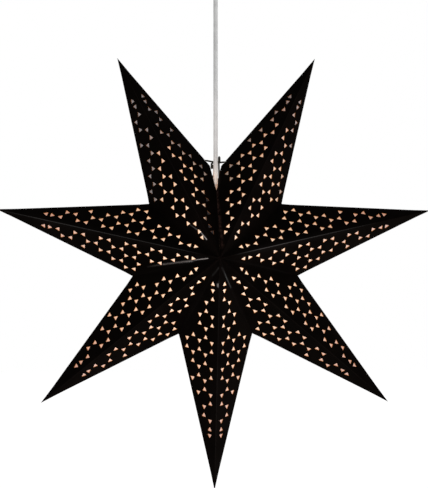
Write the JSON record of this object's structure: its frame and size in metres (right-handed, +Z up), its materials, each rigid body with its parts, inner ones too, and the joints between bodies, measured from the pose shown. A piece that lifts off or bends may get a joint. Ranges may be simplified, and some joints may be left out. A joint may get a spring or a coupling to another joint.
{
  "type": "paper star lantern",
  "caption": "Hanging folded-card star lantern with a pattern of triangular holes, a paper lining, a lampholder and bulb inside, and a cord from a ceiling fitting.",
  "frame": {"origin": "middle of the ceiling plate's top face, which lies against the ceiling", "axes": "+Z up, away from the star; +X to the viewer's right; +Y to the back, so the star's front faces -Y"},
  "size_m": [0.5782, 0.1386, 0.7393],
  "materials": {
    "black_card": "satin",
    "lining_paper": "matte",
    "grey_cord": "satin",
    "steel_wire": "satin",
    "brass": "satin",
    "black_plastic": "satin",
    "white_plastic": "satin",
    "frosted_glass": "frosted"
  },
  "bodies": {
    "ceiling_fitting": {"ceiling_plate": "white_plastic", "ceiling_cup": "white_plastic", "ceiling_hook": "steel_wire"},
    "hanger": {"hanger_link": "steel_wire"},
    "pendant": {"cord_clamp": "steel_wire", "cord": "grey_cord"},
    "lamp": {"lampholder_cap": "black_plastic", "lampholder_barrel": "black_plastic", "lampholder_insert": "black_plastic", "lampholder_screw_shell": "brass", "wire_bail": "steel_wire"},
    "bulb": {"bulb_glass": "frosted_glass", "bulb_cap": "brass", "bulb_contact": "brass"},
    "star": {"arm_4_front_cw": "black_card", "arm_4_front_ccw": "black_card", "arm_4_back_cw": "black_card", "arm_4_back_ccw": "black_card", "arm_4_liner": "lining_paper", "valley_tab_3_4": "black_card", "valley_tab_4_5": "black_card"},
    "arm_3": {"arm_3_front_cw": "black_card", "arm_3_front_ccw": "black_card", "arm_3_back_cw": "black_card", "arm_3_back_ccw": "black_card", "arm_3_liner": "lining_paper", "valley_tab_2_3": "black_card"},
    "arm_2": {"arm_2_front_cw": "black_card", "arm_2_front_ccw": "black_card", "arm_2_back_cw": "black_card", "arm_2_back_ccw": "black_card", "arm_2_liner": "lining_paper", "valley_tab_1_2": "black_card"},
    "arm_1": {"arm_1_front_cw": "black_card", "arm_1_front_ccw": "black_card", "arm_1_back_cw": "black_card", "arm_1_back_ccw": "black_card", "arm_1_liner": "lining_paper", "seam_tab_front_left": "black_card", "seam_tab_back_left": "black_card"},
    "arm_5": {"arm_5_front_cw": "black_card", "arm_5_front_ccw": "black_card", "arm_5_back_cw": "black_card", "arm_5_back_ccw": "black_card", "arm_5_liner": "lining_paper", "valley_tab_5_6": "black_card"},
    "arm_6": {"arm_6_front_cw": "black_card", "arm_6_front_ccw": "black_card", "arm_6_back_cw": "black_card", "arm_6_back_ccw": "black_card", "arm_6_liner": "lining_paper", "valley_tab_6_7": "black_card"},
    "arm_7": {"arm_7_front_cw": "black_card", "arm_7_front_ccw": "black_card", "arm_7_back_cw": "black_card", "arm_7_back_ccw": "black_card", "arm_7_liner": "lining_paper", "seam_tab_front_right": "black_card", "seam_tab_back_right": "black_card"}
  },
  "joints": [
    {"name": "swing", "type": "hinge", "parent": "ceiling_fitting", "child": "hanger", "pos_m": [0, 0, -0.02], "axis": [1, 0, 0], "range_deg": [-10, 10]},
    {"name": "sway", "type": "hinge", "parent": "hanger", "child": "pendant", "pos_m": [0, 0, -0.029], "axis": [0, 1, 0], "range_deg": [-10, 10]},
    {"name": "cord_twist", "type": "hinge", "parent": "pendant", "child": "lamp", "pos_m": [0, 0, -0.332], "axis": [0, 0, 1], "range_deg": [-180, 180]},
    {"name": "bulb_unscrew", "type": "slide", "parent": "lamp", "child": "bulb", "axis": [0, 0, -1], "range_m": [0, 0.024]},
    {"name": "star_rock", "type": "hinge", "parent": "lamp", "child": "star", "pos_m": [0, 0, -0.3], "axis": [1, 0, 0], "range_deg": [-3, 3]},
    {"name": "fold_flat", "type": "hinge", "parent": "star", "child": "arm_3", "pos_m": [0, 0, -0.43], "axis": [0, -1, 0], "range_deg": [0, 49.5], "deforming": ["arm_3_front_cw", "arm_3_front_ccw", "arm_3_back_cw", "arm_3_back_ccw", "arm_3_liner", "valley_tab_2_3", "arm_4_front_cw", "arm_4_front_ccw", "arm_4_back_cw", "arm_4_back_ccw", "arm_4_liner", "valley_tab_3_4", "valley_tab_4_5"]},
    {"name": "fold_arm_2", "type": "hinge", "parent": "star", "child": "arm_2", "pos_m": [0, 0, -0.43], "axis": [0, -1, 0], "range_deg": [0, 99], "deforming": ["arm_2_front_cw", "arm_2_front_ccw", "arm_2_back_cw", "arm_2_back_ccw", "arm_2_liner", "valley_tab_1_2"]},
    {"name": "fold_arm_1", "type": "hinge", "parent": "star", "child": "arm_1", "pos_m": [0, 0, -0.43], "axis": [0, -1, 0], "range_deg": [0, 148.5], "deforming": ["arm_1_front_cw", "arm_1_front_ccw", "arm_1_back_cw", "arm_1_back_ccw", "arm_1_liner", "seam_tab_front_left", "seam_tab_back_left"]},
    {"name": "fold_arm_5", "type": "hinge", "parent": "star", "child": "arm_5", "pos_m": [0, 0, -0.43], "axis": [0, 1, 0], "range_deg": [0, 49.5], "deforming": ["arm_5_front_cw", "arm_5_front_ccw", "arm_5_back_cw", "arm_5_back_ccw", "arm_5_liner", "valley_tab_5_6"]},
    {"name": "fold_arm_6", "type": "hinge", "parent": "star", "child": "arm_6", "pos_m": [0, 0, -0.43], "axis": [0, 1, 0], "range_deg": [0, 99], "deforming": ["arm_6_front_cw", "arm_6_front_ccw", "arm_6_back_cw", "arm_6_back_ccw", "arm_6_liner", "valley_tab_6_7"]},
    {"name": "fold_arm_7", "type": "hinge", "parent": "star", "child": "arm_7", "pos_m": [0, 0, -0.43], "axis": [0, 1, 0], "range_deg": [0, 148.5], "deforming": ["arm_7_front_cw", "arm_7_front_ccw", "arm_7_back_cw", "arm_7_back_ccw", "arm_7_liner", "seam_tab_front_right", "seam_tab_back_right"]}
  ],
  "couplings": [
    {"joint": "fold_arm_2", "follows": "fold_flat", "ratio": 2},
    {"joint": "fold_arm_1", "follows": "fold_flat", "ratio": 3},
    {"joint": "fold_arm_5", "follows": "fold_flat", "ratio": 1},
    {"joint": "fold_arm_6", "follows": "fold_flat", "ratio": 2},
    {"joint": "fold_arm_7", "follows": "fold_flat", "ratio": 3}
  ]
}
